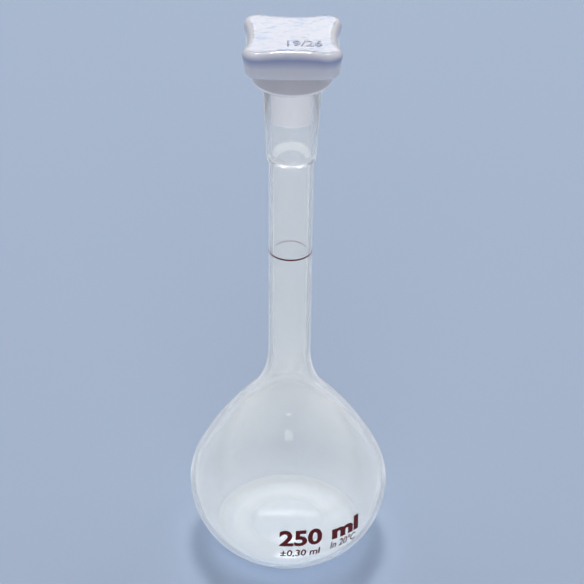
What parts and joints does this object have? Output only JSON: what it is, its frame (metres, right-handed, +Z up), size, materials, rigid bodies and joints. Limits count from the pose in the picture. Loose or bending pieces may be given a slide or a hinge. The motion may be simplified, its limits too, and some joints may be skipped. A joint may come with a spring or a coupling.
{
  "type": "volumetric flask with stopper",
  "caption": "Translucent plastic volumetric flask: pear-shaped bulb, long neck with a printed fill line, taper socket, and a square-grip stopper that lifts out.",
  "frame": {"origin": "on the table, under the middle of the flask's base", "axes": "+Z up along the neck, -Y towards the printed front of the bulb, +X to the right of that front"},
  "size_m": [0.0836, 0.0836, 0.2375],
  "materials": {
    "flask_plastic": "translucent, slightly hazy",
    "stopper_plastic": "milky translucent",
    "print_ink": "dark red screen-print ink"
  },
  "bodies": {
    "flask": {"flask_body": "flask_plastic", "graduation_ring": "print_ink"},
    "stopper": {"stopper": "stopper_plastic"}
  },
  "joints": [
    {"name": "stopper_lift", "type": "slide", "parent": "flask", "child": "stopper", "axis": [0, 0, 1], "range_m": [0, 0.05]}
  ]
}
